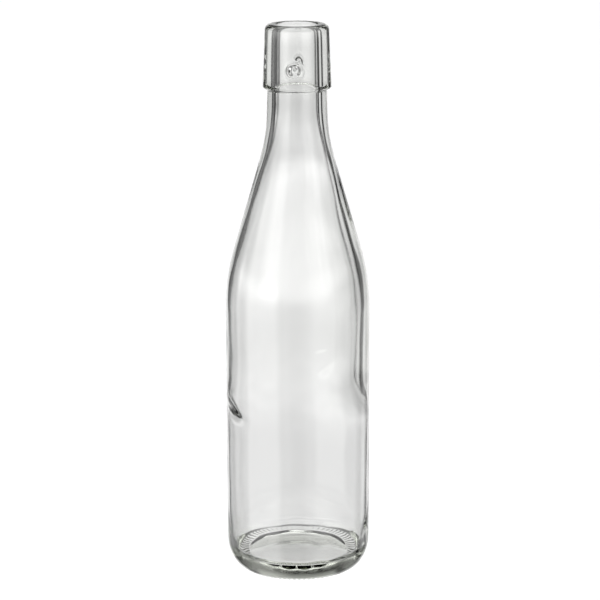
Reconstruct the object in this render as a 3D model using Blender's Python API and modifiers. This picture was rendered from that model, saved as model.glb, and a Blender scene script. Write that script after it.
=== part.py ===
"""Half-litre swing-top bottle of clear glass: one blown piece, without its wire closure.

Metres, +Z up. The origin is the middle of the base, on the surface that the bottle stands on.
The collar round the mouth has two sockets, on its -Y and +Y sides, that a wire bail clips into.
"""

import math

import bpy

# Heights above the surface that the bottle stands on
HEIGHT = 0.2605
LEDGE_HEIGHT = 0.2310  # underside of the collar
NECK_CORNER_HEIGHT = 0.2085  # where the flank and the neck would meet without their curve
SHOULDER_CORNER_HEIGHT = 0.1417  # where the body and the flank would meet without their curve
SOCKET_HEIGHT = 0.2408

# Outside radii
LIP_RADIUS = 0.0147
COLLAR_RADIUS = 0.0159
NECK_TOP_RADIUS = 0.01376
NECK_CORNER_RADIUS = 0.0143
BODY_RADIUS = 0.0338

# Curves of the outside
LIP_ROUND = 0.0016
COLLAR_ROUND = 0.0007
LEDGE_FILLET = 0.0005
NECK_CURVE = 0.083
SHOULDER_CURVE = 0.094

# Base: a soft heel, a flat ring that bears the bottle, and a shallow push-up inside the ring
HEEL_HEIGHT = 0.0149
HEEL_POWER = 2.15  # 2 gives a quarter of an ellipse, and more gives a fuller heel
BEARING_OUTER_RADIUS = 0.0235
BEARING_INNER_RADIUS = 0.0210
BEARING_ROUND = 0.0015
PUSH_UP = 0.0036

# Inside
MOUTH_RADIUS = 0.0091
MOUTH_ROUND = 0.0014
BORE_END_RADIUS = 0.0097
BORE_CURVE = 0.080
BODY_WALL = 0.0026
FLANK_WALL = 0.0033  # level, between the two sides of the flank
FLOOR_RADIUS = 0.0200
FLOOR_CENTRE_HEIGHT = 0.0084
FLOOR_FALL = 0.0016  # from the middle of the floor to its edge
INNER_HEEL_CURVE = 0.009

# Sockets for the wire bail: shallow cones with a flat bottom
SOCKET_RIM_RADIUS = 0.0032
SOCKET_RIM_DISTANCE = 0.0155  # from the bottle's axis
SOCKET_FLOOR_RADIUS = 0.0013
SOCKET_FLOOR_DISTANCE = 0.0130
SOCKET_CUTTER_LENGTH = 0.0050

# Fineness of the mesh
ROUND_STEPS = 48
SOCKET_STEPS = 20
HEEL_STEPS = 10
DISH_STEPS = 5
CURVE_ERROR = 0.00002

FLANK_SLOPE = (BODY_RADIUS - NECK_CORNER_RADIUS) / (NECK_CORNER_HEIGHT - SHOULDER_CORNER_HEIGHT)


def clear_scene():
    for item in list(bpy.data.objects):
        bpy.data.objects.remove(item, do_unlink=True)


def new_collection(name):
    collection = bpy.data.collections.new(name)
    bpy.context.scene.collection.children.link(collection)
    return collection


def clear_glass():
    """Colourless soda-lime glass, as container glass is."""
    glass = bpy.data.materials.new("clear_glass")
    glass.use_nodes = True
    shader = glass.node_tree.nodes["Principled BSDF"]
    shader.inputs["Base Color"].default_value = (0.96, 0.98, 0.97, 1.0)
    shader.inputs["Roughness"].default_value = 0.02
    shader.inputs["Metallic"].default_value = 0.0
    shader.inputs["IOR"].default_value = 1.52
    shader.inputs["Transmission Weight"].default_value = 1.0
    return glass


def direction(start, end):
    length = math.dist(start, end)
    return (end[0] - start[0]) / length, (end[1] - start[1]) / length


def rounded(before, corner, after, curve):
    """The points of an arc of radius curve that touches both lines of a corner."""
    to_before = direction(corner, before)
    to_after = direction(corner, after)
    half_angle = math.acos(to_before[0] * to_after[0] + to_before[1] * to_after[1]) / 2
    inwards = direction((0, 0), (to_before[0] + to_after[0], to_before[1] + to_after[1]))
    centre = [corner[i] + inwards[i] * curve / math.sin(half_angle) for i in (0, 1)]
    first = [corner[i] + to_before[i] * curve / math.tan(half_angle) for i in (0, 1)]
    turn = math.pi - 2 * half_angle
    if to_before[0] * to_after[1] > to_before[1] * to_after[0]:
        turn = -turn
    start = math.atan2(first[1] - centre[1], first[0] - centre[0])
    steps = math.ceil(abs(turn) / (2 * math.acos(1 - CURVE_ERROR / curve)))
    angles = [start + turn * step / steps for step in range(steps + 1)]
    return [(centre[0] + curve * math.cos(a), centre[1] + curve * math.sin(a)) for a in angles]


def outline(corners):
    """The points of a line through corners of (radius, height, curve), rounded where curve isn't 0."""
    points = [corners[0][:2]]
    for before, corner, after in zip(corners, corners[1:], corners[2:]):
        if corner[2]:
            points += rounded(before[:2], corner[:2], after[:2], corner[2])
        else:
            points.append(corner[:2])
    return points + [corners[-1][:2]]


def dish(edge_radius, centre_height, fall):
    """Corners from the axis out to edge_radius, on a parabola that falls by fall on the way."""
    parts = [step / DISH_STEPS for step in range(DISH_STEPS + 1)]
    return [(edge_radius * part, centre_height - fall * part**2, 0) for part in parts]


def heel():
    """Corners from the top of the heel down to the bearing ring."""
    depth = BODY_RADIUS - BEARING_OUTER_RADIUS
    corners = []
    for step in range(HEEL_STEPS + 1):
        angle = math.pi / 2 * step / HEEL_STEPS
        out = math.cos(angle) ** (2 / HEEL_POWER)
        down = math.sin(angle) ** (2 / HEEL_POWER)
        corners.append((BEARING_OUTER_RADIUS + depth * out, HEEL_HEIGHT * (1 - down), 0))
    return corners


def flank_height(radius):
    """The height at which the inside of the flank reaches a radius."""
    return SHOULDER_CORNER_HEIGHT + (BODY_RADIUS - FLANK_WALL - radius) / FLANK_SLOPE


def inside():
    """Corners from the middle of the floor up to the mouth."""
    radius = BODY_RADIUS - BODY_WALL
    floor_slope = 2 * FLOOR_FALL / FLOOR_RADIUS
    floor_edge_height = FLOOR_CENTRE_HEIGHT - FLOOR_FALL
    heel_corner_height = floor_edge_height - floor_slope * (radius - FLOOR_RADIUS)
    return dish(FLOOR_RADIUS, FLOOR_CENTRE_HEIGHT, FLOOR_FALL) + [
        (radius, heel_corner_height, INNER_HEEL_CURVE),
        (radius, flank_height(radius), SHOULDER_CURVE - BODY_WALL),
        (BORE_END_RADIUS, flank_height(BORE_END_RADIUS), BORE_CURVE),
        (MOUTH_RADIUS, HEIGHT, MOUTH_ROUND),
    ]


def outside():
    """Corners from the lip down the outside to the middle of the push-up."""
    push_up = dish(BEARING_INNER_RADIUS, PUSH_UP, PUSH_UP)
    corners = [
        (LIP_RADIUS, HEIGHT, LIP_ROUND),
        (COLLAR_RADIUS, LEDGE_HEIGHT, COLLAR_ROUND),
        (NECK_TOP_RADIUS, LEDGE_HEIGHT, LEDGE_FILLET),
        (NECK_CORNER_RADIUS, NECK_CORNER_HEIGHT, NECK_CURVE),
        (BODY_RADIUS, SHOULDER_CORNER_HEIGHT, SHOULDER_CURVE),
    ]
    corners += heel()
    corners.append((BEARING_INNER_RADIUS, 0, BEARING_ROUND))
    corners += reversed(push_up[:-1])
    return corners


def turned(name, points, collection):
    """A body turned about Z from points of (radius, height)."""
    mesh = bpy.data.meshes.new(name)
    edges = [(i, i + 1) for i in range(len(points) - 1)]
    mesh.from_pydata([(radius, 0, height) for radius, height in points], edges, [])
    body = bpy.data.objects.new(name, mesh)
    collection.objects.link(body)
    screw = body.modifiers.new("turn", "SCREW")
    screw.axis = "Z"
    screw.steps = ROUND_STEPS
    screw.render_steps = ROUND_STEPS
    screw.use_merge_vertices = True
    screw.merge_threshold = 0.00001
    screw.use_smooth_shade = True
    return body


def socket_cutter(name, side, collection):
    """The cone that cuts one socket, on the -Y side or the +Y side. It starts inside the glass."""
    growth = (SOCKET_RIM_RADIUS - SOCKET_FLOOR_RADIUS) / (SOCKET_RIM_DISTANCE - SOCKET_FLOOR_DISTANCE)
    bpy.ops.mesh.primitive_cone_add(
        vertices=SOCKET_STEPS,
        radius1=SOCKET_FLOOR_RADIUS,
        radius2=SOCKET_FLOOR_RADIUS + growth * SOCKET_CUTTER_LENGTH,
        depth=SOCKET_CUTTER_LENGTH,
        location=(0, side * (SOCKET_FLOOR_DISTANCE + SOCKET_CUTTER_LENGTH / 2), SOCKET_HEIGHT),
        rotation=(-side * math.pi / 2, 0, 0),
    )
    cutter = bpy.context.object
    cutter.name = name
    for holder in cutter.users_collection:
        holder.objects.unlink(cutter)
    collection.objects.link(cutter)
    cutter.hide_render = True
    cutter.display_type = "WIRE"
    return cutter


def main():
    clear_scene()
    bottle_parts = new_collection("swing_top_bottle")
    cutters = new_collection("cutters")
    bottle = turned("glass_bottle", outline(inside() + outside()), bottle_parts)
    bottle.data.materials.append(clear_glass())
    for name, side in (("front_socket_cutter", -1), ("back_socket_cutter", 1)):
        cut = bottle.modifiers.new(name, "BOOLEAN")
        cut.operation = "DIFFERENCE"
        cut.solver = "EXACT"
        cut.object = socket_cutter(name, side, cutters)


main()
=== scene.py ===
"""Looks of the half-litre swing-top bottle: one fine mesh of blown glass, a studio and a camera."""

import math

import bpy
import numpy as np
from mathutils import Matrix, Vector


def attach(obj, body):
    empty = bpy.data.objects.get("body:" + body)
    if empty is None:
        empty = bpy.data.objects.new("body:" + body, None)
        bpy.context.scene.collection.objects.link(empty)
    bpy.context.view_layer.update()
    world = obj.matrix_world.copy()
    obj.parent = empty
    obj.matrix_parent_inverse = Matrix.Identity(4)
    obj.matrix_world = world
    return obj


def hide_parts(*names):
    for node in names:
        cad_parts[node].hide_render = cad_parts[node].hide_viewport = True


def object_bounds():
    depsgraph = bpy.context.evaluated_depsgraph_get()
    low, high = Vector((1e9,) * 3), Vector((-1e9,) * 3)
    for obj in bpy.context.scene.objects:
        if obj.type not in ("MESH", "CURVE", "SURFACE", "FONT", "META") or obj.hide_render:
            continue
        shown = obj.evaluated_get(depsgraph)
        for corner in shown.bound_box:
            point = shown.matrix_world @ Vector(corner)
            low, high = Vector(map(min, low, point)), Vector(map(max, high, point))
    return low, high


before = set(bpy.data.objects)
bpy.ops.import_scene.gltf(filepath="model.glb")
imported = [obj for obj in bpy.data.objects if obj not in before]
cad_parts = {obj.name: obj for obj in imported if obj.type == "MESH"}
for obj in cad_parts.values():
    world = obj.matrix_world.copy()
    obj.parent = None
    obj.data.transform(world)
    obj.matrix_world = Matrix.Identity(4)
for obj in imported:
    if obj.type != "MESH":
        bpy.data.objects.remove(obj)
cad_low, cad_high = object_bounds()

MM = 0.001

# The outside: radii and heights in metres. Its small curves, the heel, the bearing ring and the push-up differ
# a little from the CAD's, and the rest is the same
HEIGHT = cad_high.z
BODY_RADIUS = cad_high.x
LEDGE_HEIGHT = 0.2310
NECK_CORNER_HEIGHT = 0.2085
SHOULDER_CORNER_HEIGHT = 0.1417
LIP_RADIUS = 0.0147
COLLAR_RADIUS = 0.0159
NECK_TOP_RADIUS = 0.01376
NECK_CORNER_RADIUS = 0.0143
LIP_ROUND = 0.0026
COLLAR_ROUND = 0.0008
LEDGE_FILLET = 0.0012
NECK_CURVE = 0.083
SHOULDER_CURVE = 0.094
HEEL_HEIGHT = 0.0149
HEEL_POWER = 2.0
BEARING_OUTER_RADIUS = 0.0240
BEARING_INNER_RADIUS = 0.0230
BEARING_ROUND = 0.0007
PUSH_UP = 0.0025

# The inside. The mouth is rounder than the CAD's, and the floor higher and wider with a tighter curve round it.
# The rest is the same before wall_growth
MOUTH_RADIUS = 0.0091
MOUTH_ROUND = 0.0018
BORE_END_RADIUS = 0.0097
BORE_CURVE = 0.080
BODY_WALL = 0.0026
FLANK_WALL = 0.0033
FLOOR_RADIUS = 0.0270
FLOOR_CENTRE_HEIGHT = 0.0119
FLOOR_FALL = 0.0023
INNER_HEEL_CURVE = 0.0035

FLANK_SLOPE = (BODY_RADIUS - NECK_CORNER_RADIUS) / (NECK_CORNER_HEIGHT - SHOULDER_CORNER_HEIGHT)

# The floor's lean, higher at the back, which fades out up the wall between two heights
FLOOR_LEAN = 0.3 * MM
LEAN_FADES_OUT = (0.015, 0.050)

# The settle wave, where the glass came to rest in the first mould: the wall is thin below it and thick above.
# It is higher at the left than at the right, and short at the sides
WAVE_HEIGHT = 0.086
WAVE_TILT = 1 * MM
SIDE_REACH = 13 * MM
FRONT_REACH = 24 * MM
SIDE_THICKENING = 1.3 * MM
RIGHT_THICKENING = 1.2 * MM
LOW_THINNING = 0.45 * MM
LOW_SIDE_THINNING = 0.6 * MM
THICKENING_FADES_OUT = (0.160, 0.198)

# A roll of glass inside the wall at the left, which comes down towards the front
ROLL = 2.8 * MM
ROLL_HEIGHT = 0.0845
ROLL_WIDTH = 2.3 * MM
ROLL_TURN = 0.28
ROLL_POWER = 20
ROLL_LEAN = 10.5 * MM

# Random waves on the inside: long ones and mottle up the body, and short ones in the heel. Each row has the
# waves' height, seed and number, the longest and shortest of them, and the most of them round the bottle
UNEVENNESS = (0.07 * MM, 7, 14, 0.090, 0.022, 6)
MOTTLE = (0.02 * MM, 11, 30, 0.030, 0.008, 16)
HEEL_WAVES = (0.15 * MM, 5, 20, 0.020, 0.006, 26)
GROWTH_STARTS_AT = 0.4 * FLOOR_RADIUS
BODY_FADES_IN = (0.012, 0.030)
BODY_FADES_OUT = (0.200, 0.228)
HEEL_FADES_OUT = (0.014, 0.026)

# Bail sockets, at the front and the back of the collar
SOCKET_HEIGHT = 0.2408
SOCKET_RIM = 3.3 * MM
SOCKET_FLOOR = 1.4 * MM
SOCKET_DEPTH = 1.6 * MM
PIT_RADIUS = 0.7 * MM
PIT_FLOOR = 0.3 * PIT_RADIUS
PIT_DEPTH = 0.9 * MM
RING_RADIUS = 4.1 * MM
RING_WIDTH = 0.3 * MM
RING_HEIGHT = 0.30 * MM
COLLAR_STARTS_AT = LEDGE_HEIGHT + 1 * MM

# Knurls round the bearing ring
KNURLS = 72
KNURL_DEPTH = 0.50 * MM
KNURL_START = 24.3 * MM
KNURL_START_LENGTH = 0.8 * MM
KNURL_END = 29.3 * MM
KNURL_END_LENGTH = 1.2 * MM
KNURLS_BELOW = 8 * MM

# Fineness of the mesh: the segments round it, how far an arc's chords may be off it, steps along curves, and
# distances between rows. Three values are the reach of the fine rows, their distance and the coarse distance
SEGMENTS = 360
CURVE_ERROR = 0.000016
HEEL_STEPS = 18
DOME_STEPS = 12
ROLL_ROWS = (8 * MM, 0.7 * MM, 5 * MM)
SOCKET_ROWS = (4.6 * MM, 0.30 * MM, 8 * MM)
KNURL_ROWS = 0.6 * MM
KNURL_ROWS_BELOW = 4 * MM
KNURL_ROWS_PAST = 20 * MM
PLAIN_ROWS = 8 * MM

# Glass
REFRACTIVE_INDEX = 1.52
GLASS_TINT = (0.44, 0.48, 0.37, 1)
TINT_DENSITY = 14.0

# Camera: distances in metres, lens and sensor in millimetres, and angles from a level view along +Y
CAMERA_DISTANCE = 1.100
CAMERA_HEIGHT = 0.391
CAMERA_AZIMUTH = math.radians(4.4)
CAMERA_PITCH = math.radians(13.334)
CAMERA_AIM_RIGHT = math.radians(0.056)
CAMERA_ROLL = math.radians(-0.15)
CAMERA_LENS = 144.0
CAMERA_SENSOR = 36

# Studio
DOME_RADIUS = 12.0
FLOOR_SIZE = 30
FLOOR_GAP = 0.0001
FLOOR_PALENESS = 0.9
FLOOR_BRIGHTNESS = 1.02
SUN_WIDTH = math.radians(50)

# The lamps: compass angle of the middle (0 behind the bottle, right is positive), half width and soft
# edge, then elevation of the lower and upper end and their soft edge, all in degrees, then radiance. Most of
# these values are the output of a least-squares fit by another program, rounded, and not a hand-made design
LAMPS = [
    ("back_panel", 1, 28, 3, -60, 18, 4, 0.70),
    ("back_panel_middle", 0, 20, 9, -13, -9, 4, 0.30),
    ("table", -1, 86, 20, -90, -12, 6, 0.14),
    ("left_box", -121, 29, 6, -46, 44, 6, 1.02),
    ("left_box_top", -105, 43, 6, -4, 5, 5, 1.30),
    ("left_fill", -42, 8, 9, -30, 26, 8, 0.18),
    ("right_box", 120, 48, 5, -38, 12, 3, 0.46),
    ("right_box_top", 99, 31, 3, 3, 44, 4, 1.06),
    ("ceiling_front", 182, 59, 11, -2, 23, 4, 1.60),
    ("right_card", 50, 7, 4, -25, 5, 5, 0.72),
    ("right_high_card", 26, 15, 9, 4, 54, 4, 0.34),
    ("ceiling", 0, 180, 1, 48, 91, 8, 1.85),
]


# ---------------------------------------------------------------- outline

def direction(start, end):
    length = math.dist(start, end)
    return (end[0] - start[0]) / length, (end[1] - start[1]) / length


def between(start, end, share):
    return start[0] + (end[0] - start[0]) * share, start[1] + (end[1] - start[1]) * share


def rounded(before, corner, after, curve):
    """The points of an arc of radius curve that touches both lines of a corner."""
    to_before = direction(corner, before)
    to_after = direction(corner, after)
    half_angle = math.acos(to_before[0] * to_after[0] + to_before[1] * to_after[1]) / 2
    inwards = direction((0, 0), (to_before[0] + to_after[0], to_before[1] + to_after[1]))
    centre = [corner[i] + inwards[i] * curve / math.sin(half_angle) for i in (0, 1)]
    first = [corner[i] + to_before[i] * curve / math.tan(half_angle) for i in (0, 1)]
    turn = math.pi - 2 * half_angle
    if to_before[0] * to_after[1] > to_before[1] * to_after[0]:
        turn = -turn
    start = math.atan2(first[1] - centre[1], first[0] - centre[0])
    steps = math.ceil(abs(turn) / (2 * math.acos(1 - CURVE_ERROR / curve)))
    angles = [start + turn * step / steps for step in range(steps + 1)]
    return [(centre[0] + curve * math.cos(a), centre[1] + curve * math.sin(a)) for a in angles]


def outline(corners):
    """The points of a line through corners of (radius, height, curve), rounded where curve isn't 0."""
    points = [corners[0][:2]]
    for before, corner, after in zip(corners, corners[1:], corners[2:]):
        if corner[2]:
            points += rounded(before[:2], corner[:2], after[:2], corner[2])
        else:
            points.append(corner[:2])
    return points + [corners[-1][:2]]


def dome(edge_radius, centre_height, fall):
    """Corners of a parabola from the axis out to edge_radius, where it is lower by fall."""
    corners = [(0, centre_height, 0)]
    for step in range(DOME_STEPS + 1):
        share = step / DOME_STEPS
        corners.append((edge_radius * share, centre_height - fall * (share * share), 0))
    return corners


def heel():
    """Corners from the top of the heel down to the bearing ring."""
    depth = BODY_RADIUS - BEARING_OUTER_RADIUS
    corners = []
    for step in range(HEEL_STEPS + 1):
        angle = math.pi / 2 * step / HEEL_STEPS
        out = math.cos(angle) ** (2 / HEEL_POWER)
        down = math.sin(angle) ** (2 / HEEL_POWER)
        corners.append((BEARING_OUTER_RADIUS + depth * out, HEEL_HEIGHT * (1 - down), 0))
    return corners


def flank_height(radius):
    """The height at which the inside of the flank reaches a radius."""
    return SHOULDER_CORNER_HEIGHT + (BODY_RADIUS - FLANK_WALL - radius) / FLANK_SLOPE


def inside():
    """Corners from the middle of the floor up to the mouth."""
    radius = BODY_RADIUS - BODY_WALL
    edge_height = FLOOR_CENTRE_HEIGHT - FLOOR_FALL
    return dome(FLOOR_RADIUS, FLOOR_CENTRE_HEIGHT, FLOOR_FALL) + [
        (radius, edge_height, INNER_HEEL_CURVE),
        (radius, flank_height(radius), SHOULDER_CURVE - BODY_WALL),
        (BORE_END_RADIUS, flank_height(BORE_END_RADIUS), BORE_CURVE),
        (MOUTH_RADIUS, HEIGHT, MOUTH_ROUND),
        ((MOUTH_RADIUS + LIP_RADIUS) / 2, HEIGHT, 0),
    ]


def outside():
    """Corners from the lip down the outside to the middle of the push-up."""
    corners = [
        ((MOUTH_RADIUS + LIP_RADIUS) / 2, HEIGHT, 0),
        (LIP_RADIUS, HEIGHT, LIP_ROUND),
        (COLLAR_RADIUS, LEDGE_HEIGHT, COLLAR_ROUND),
        (NECK_TOP_RADIUS, LEDGE_HEIGHT, LEDGE_FILLET),
        (NECK_CORNER_RADIUS, NECK_CORNER_HEIGHT, NECK_CURVE),
        (BODY_RADIUS, SHOULDER_CORNER_HEIGHT, SHOULDER_CURVE),
    ]
    corners += heel()
    corners.append((BEARING_INNER_RADIUS, 0, BEARING_ROUND))
    corners += reversed(dome(BEARING_INNER_RADIUS, PUSH_UP, PUSH_UP)[:-1])
    return corners


def spaced(points, spacing):
    """The same line with more points, about as far apart as spacing(radius, height) says."""
    result = [points[0]]
    for start, end in zip(points, points[1:]):
        gap = math.dist(start, end)
        if gap < 1e-7:
            continue
        along = 0
        while along < gap:
            step = spacing(*between(start, end, along / gap))
            along = gap if gap - along < 1.5 * step else along + step
            result.append(between(start, end, along / gap))
    return np.array(result)


def graded(distance, reach, fine, coarse):
    """A spacing that is fine within reach and grows to coarse beyond it."""
    return min(coarse, fine + 0.5 * max(0, distance - reach))


def inside_spacing(radius, height):
    return graded(abs(height - ROLL_HEIGHT), *ROLL_ROWS)


def outside_spacing(radius, height):
    if height > LEDGE_HEIGHT:
        return graded(abs(height - SOCKET_HEIGHT), *SOCKET_ROWS)
    if height < KNURL_ROWS_BELOW and radius > KNURL_ROWS_PAST:
        return KNURL_ROWS
    return PLAIN_ROWS


# ---------------------------------------------------------------- shape of blown glass

def smooth_step(value, low, high):
    share = np.clip((value - low) / (high - low), 0, 1)
    return share * share * (3 - 2 * share)


def ripples(angle, height, size, seed, count, longest, shortest, most_turns):
    """Smooth random waves round and up the bottle, about as high as size."""
    chance = np.random.RandomState(seed)
    total = np.zeros(np.broadcast(angle, height).shape)
    for _ in range(count):
        turns = chance.randint(0, most_turns + 1)
        wave_length = chance.uniform(shortest, longest)
        phase = chance.uniform(0, 2 * math.pi)
        lean = chance.choice((-1, 1))
        total += np.cos(turns * angle + lean * 2 * math.pi * height / wave_length + phase)
    return size * (total / math.sqrt(count))


def settle_wave(angle, height):
    """How much thicker than BODY_WALL the wall is: less below the settle wave and more above it."""
    side = np.abs(np.cos(angle)) ** 3
    reach = FRONT_REACH + (SIDE_REACH - FRONT_REACH) * side
    middle = WAVE_HEIGHT - WAVE_TILT * np.cos(angle)
    above = smooth_step(height, middle - reach, middle + reach)
    fading = 1 - smooth_step(height, *THICKENING_FADES_OUT)
    thick = (SIDE_THICKENING + RIGHT_THICKENING * np.cos(angle)) * above * fading
    return thick - (LOW_THINNING + LOW_SIDE_THINNING * side) * (1 - above)


def left_roll(angle, height):
    """How much the roll at the left thickens the wall."""
    left = np.clip(-np.cos(angle - ROLL_TURN), 0, 1) ** ROLL_POWER
    middle = ROLL_HEIGHT + ROLL_LEAN * np.sin(angle)
    return ROLL * left * np.exp(-((height - middle) / ROLL_WIDTH) ** 2)


def wall_growth(angle, height):
    """How far the inside stands in from its plain outline."""
    settled = settle_wave(angle, height) + left_roll(angle, height)
    uneven = ripples(angle, height, *UNEVENNESS)
    mottle = ripples(angle, height, *MOTTLE)
    body = smooth_step(height, *BODY_FADES_IN) * (1 - smooth_step(height, *BODY_FADES_OUT))
    heel_waves = ripples(angle, height, *HEEL_WAVES) * (1 - smooth_step(height, *HEEL_FADES_OUT))
    return (settled + uneven + mottle) * body + heel_waves


def socket_depth(across, up):
    """Depth of a bail socket: a round dish with a small pit in the middle, inside a faint raised ring."""
    distance = np.hypot(across, up)
    dish = SOCKET_DEPTH * (1 - smooth_step(distance, SOCKET_FLOOR, SOCKET_RIM))
    pit = PIT_DEPTH * (1 - smooth_step(distance, PIT_FLOOR, PIT_RADIUS))
    ring = RING_HEIGHT * np.exp(-((distance - RING_RADIUS) / RING_WIDTH) ** 2)
    return dish + pit - ring


def knurl_height(angle, radius):
    """Height of the grooves between the knurls of the bearing ring."""
    wave = 0.5 - 0.5 * np.cos(KNURLS * angle)
    start = smooth_step(radius, KNURL_START, KNURL_START + KNURL_START_LENGTH)
    end = 1 - smooth_step(radius, KNURL_END - KNURL_END_LENGTH, KNURL_END)
    return KNURL_DEPTH * start * end * wave


def glass_grid():
    """Points of the whole bottle as arrays of profile point by segment."""
    inner = spaced(outline(inside()), inside_spacing)
    outer = spaced(outline(outside()), outside_spacing)[1:]
    profile = np.vstack([inner, outer])
    angle = np.arange(SEGMENTS) * 2 * math.pi / SEGMENTS
    radius = np.repeat(profile[:, :1], SEGMENTS, 1)
    height = np.repeat(profile[:, 1:], SEGMENTS, 1)
    angles = np.repeat(angle[None], len(profile), 0)
    is_inner = np.zeros(radius.shape, bool)
    is_inner[: len(inner)] = True
    wall = is_inner & (radius > GROWTH_STARTS_AT)
    radius = radius - np.where(wall, wall_growth(angles, height), 0)
    lean = FLOOR_LEAN * radius * np.sin(angles) / FLOOR_RADIUS
    lean = lean * (1 - smooth_step(height, *LEAN_FADES_OUT))
    height = height + np.where(is_inner, lean, 0)
    collar = ~is_inner & (height > COLLAR_STARTS_AT)
    for middle in (-math.pi / 2, math.pi / 2):
        across = radius * np.sin(angles - middle)
        facing = np.cos(angles - middle) > 0
        depth = socket_depth(across, height - SOCKET_HEIGHT)
        radius = radius - np.where(collar & facing, depth, 0)
    base = ~is_inner & (height < KNURLS_BELOW)
    height = height + np.where(base, knurl_height(angles, radius), 0)
    return radius, height, angles


def glass_mesh(name):
    """One closed mesh of the grid's rows, with a point on the axis at either end."""
    radius, height, angle = glass_grid()
    grid = np.stack([radius * np.cos(angle), radius * np.sin(angle), height], -1)
    rows = len(grid) - 2
    body = grid[1:-1].reshape(-1, 3)
    points = np.vstack([body, grid[0, 0], grid[-1, 0]])
    first_pole, last_pole = len(body), len(body) + 1
    column = np.arange(SEGMENTS)
    after = (column + 1) % SEGMENTS
    faces = []
    for row in range(rows - 1):
        start = row * SEGMENTS
        lower = start + SEGMENTS
        faces.append(np.stack([start + column, lower + column, lower + after, start + after], -1))
    quads = np.concatenate(faces)
    end = (rows - 1) * SEGMENTS
    caps = [(first_pole, int(a), int(b)) for a, b in zip(column, after)]
    caps += [(last_pole, int(end + b), int(end + a)) for a, b in zip(column, after)]
    mesh = bpy.data.meshes.new(name)
    mesh.from_pydata(points.tolist(), [], quads.tolist() + caps)
    mesh.validate()
    mesh.update()
    mesh.shade_smooth()
    bottle = bpy.data.objects.new(name, mesh)
    bpy.context.scene.collection.objects.link(bottle)
    return bottle


def flint_glass():
    """Clear container glass: colourless on thin walls, a breath of grey-green in the thick heel."""
    glass = bpy.data.materials.new("flint_glass")
    glass.use_nodes = True
    nodes, links = glass.node_tree.nodes, glass.node_tree.links
    shader = nodes["Principled BSDF"]
    shader.inputs["Base Color"].default_value = (1, 1, 1, 1)
    shader.inputs["Roughness"].default_value = 0.0
    shader.inputs["IOR"].default_value = REFRACTIVE_INDEX
    shader.inputs["Transmission Weight"].default_value = 1.0
    tint = nodes.new("ShaderNodeVolumeAbsorption")
    tint.inputs["Color"].default_value = GLASS_TINT
    tint.inputs["Density"].default_value = TINT_DENSITY
    links.new(tint.outputs["Volume"], nodes["Material Output"].inputs["Volume"])
    return glass


# ---------------------------------------------------------------- studio

def make_camera():
    camera = bpy.data.objects.new("camera", bpy.data.cameras.new("camera"))
    bpy.context.scene.collection.objects.link(camera)
    camera.data.sensor_width = CAMERA_SENSOR
    camera.data.lens = CAMERA_LENS
    camera.data.clip_start = 0.01
    camera.data.clip_end = 100
    place = Vector((math.sin(CAMERA_AZIMUTH), -math.cos(CAMERA_AZIMUTH), 0)) * CAMERA_DISTANCE
    place.z = CAMERA_HEIGHT
    turn = Matrix.Rotation(CAMERA_AZIMUTH - CAMERA_AIM_RIGHT, 4, "Z")
    tilt = Matrix.Rotation(math.pi / 2 - CAMERA_PITCH, 4, "X")
    roll = Matrix.Rotation(CAMERA_ROLL, 4, "Z")
    camera.matrix_world = Matrix.Translation(place) @ turn @ tilt @ roll
    bpy.context.scene.camera = camera
    return camera


def seen_by(thing, camera=False, diffuse=False, glossy=False, transmission=False):
    """Sets which rays meet a thing. None of the studio casts a shadow."""
    thing.visible_camera = camera
    thing.visible_diffuse = diffuse
    thing.visible_glossy = glossy
    thing.visible_transmission = transmission
    thing.visible_shadow = False
    thing.visible_volume_scatter = False


class Formula:
    """Writes shader arithmetic as calls, each making one node."""

    def __init__(self, tree):
        self.tree = tree

    def node(self, operation, *values):
        made = self.tree.nodes.new("ShaderNodeMath")
        made.operation = operation
        for socket, value in zip(made.inputs, values):
            if isinstance(value, bpy.types.NodeSocket):
                self.tree.links.new(value, socket)
            else:
                socket.default_value = value
        return made.outputs[0]

    def step(self, value, middle, soft):
        """0 below middle and 1 above it, smooth over soft on either side. A negative soft makes it fall."""
        made = self.tree.nodes.new("ShaderNodeMapRange")
        made.interpolation_type = "SMOOTHSTEP"
        self.tree.links.new(value, made.inputs["Value"])
        made.inputs["From Min"].default_value = middle - abs(soft)
        made.inputs["From Max"].default_value = middle + abs(soft)
        made.inputs["To Min"].default_value = 0 if soft > 0 else 1
        made.inputs["To Max"].default_value = 1 if soft > 0 else 0
        return made.outputs["Result"]


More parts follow.
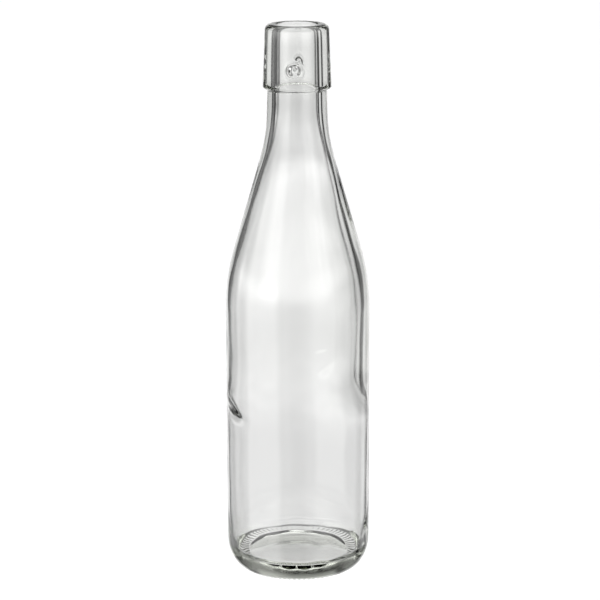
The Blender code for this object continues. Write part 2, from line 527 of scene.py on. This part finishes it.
def studio_light():
    """The light that the glass bends and mirrors, by compass angle and elevation seen from the bottle."""
    light = bpy.data.materials.new("studio_light")
    light.use_nodes = True
    tree = light.node_tree
    tree.nodes.clear()
    place = tree.nodes.new("ShaderNodeTexCoord").outputs["Object"]
    split = tree.nodes.new("ShaderNodeSeparateXYZ")
    tree.links.new(place, split.inputs[0])
    across, away, up = split.outputs
    f = Formula(tree)
    compass = f.node("MULTIPLY", f.node("ARCTAN2", across, away), 180 / math.pi)
    squares = f.node("ADD", f.node("POWER", across, 2.0), f.node("POWER", away, 2.0))
    level = f.node("POWER", squares, 0.5)
    elevation = f.node("MULTIPLY", f.node("ARCTAN2", up, level), 180 / math.pi)
    total = None
    for name, middle, half, side_soft, low, high, end_soft, radiance in LAMPS:
        turned = f.node("WRAP", f.node("SUBTRACT", compass, middle), 180.0, -180.0)
        lamp = f.step(f.node("ABSOLUTE", turned), half, -side_soft)
        lamp = f.node("MULTIPLY", lamp, f.step(elevation, low, end_soft))
        lamp = f.node("MULTIPLY", lamp, f.step(elevation, high, -end_soft))
        lamp = f.node("MULTIPLY", lamp, radiance)
        total = lamp if total is None else f.node("ADD", total, lamp)
    emission = tree.nodes.new("ShaderNodeEmission")
    tree.links.new(total, emission.inputs["Strength"])
    output = tree.nodes.new("ShaderNodeOutputMaterial")
    tree.links.new(emission.outputs[0], output.inputs["Surface"])
    return light


def make_dome(camera):
    """A dome of light round the bottle that keeps its place before the camera, so each view is lit alike."""
    bpy.ops.mesh.primitive_uv_sphere_add(segments=48, ring_count=24, radius=DOME_RADIUS)
    light_dome = bpy.context.object
    light_dome.name = "light_dome"
    light_dome.data.materials.append(studio_light())
    turn = Matrix.Rotation(CAMERA_AZIMUTH, 4, "Z")
    light_dome.matrix_world = Matrix.Translation((0, 0, HEIGHT / 2)) @ turn
    bpy.context.view_layer.update()
    light_dome.parent = camera
    light_dome.matrix_parent_inverse = camera.matrix_world.inverted()
    seen_by(light_dome, glossy=True, transmission=True)


def pale(name, strength):
    paint = bpy.data.materials.new(name)
    paint.use_nodes = True
    shader = paint.node_tree.nodes["Principled BSDF"]
    shader.inputs["Base Color"].default_value = (strength, strength, strength, 1)
    shader.inputs["Roughness"].default_value = 1.0
    shader.inputs["Specular IOR Level"].default_value = 0.0
    return paint


def make_floor():
    """A pale floor just under the bottle, with a sun that lights it to just over white."""
    bpy.ops.mesh.primitive_circle_add(
        vertices=96, radius=FLOOR_SIZE, fill_type="NGON", location=(0, 0, -FLOOR_GAP)
    )
    floor = bpy.context.object
    floor.name = "floor"
    floor.data.materials.append(pale("pale_floor", FLOOR_PALENESS))
    seen_by(floor, camera=True, diffuse=True)
    sun = bpy.data.objects.new("floor_light", bpy.data.lights.new("floor_light", "SUN"))
    bpy.context.scene.collection.objects.link(sun)
    sun.data.energy = math.pi / FLOOR_PALENESS * FLOOR_BRIGHTNESS
    sun.data.angle = SUN_WIDTH
    seen_by(sun, camera=True, diffuse=True)


def make_world():
    """A white room that only the camera sees, past the floor."""
    world = bpy.data.worlds.new("white_room")
    bpy.context.scene.world = world
    world.use_nodes = True
    background = world.node_tree.nodes["Background"]
    background.inputs["Color"].default_value = (1, 1, 1, 1)
    background.inputs["Strength"].default_value = 1.0
    world.cycles_visibility.diffuse = False
    world.cycles_visibility.glossy = False
    world.cycles_visibility.transmission = False
    world.cycles_visibility.scatter = False


# ---------------------------------------------------------------- the scene

bottle = glass_mesh("blown_glass_bottle")
bottle.data.materials.append(flint_glass())
bottle.visible_shadow = False
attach(bottle, "root")
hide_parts("glass_bottle")

make_dome(make_camera())
make_floor()
make_world()

scene = bpy.context.scene
scene.view_settings.view_transform = "Standard"
scene.cycles.max_bounces = 24
scene.cycles.transmission_bounces = 24
scene.cycles.glossy_bounces = 12
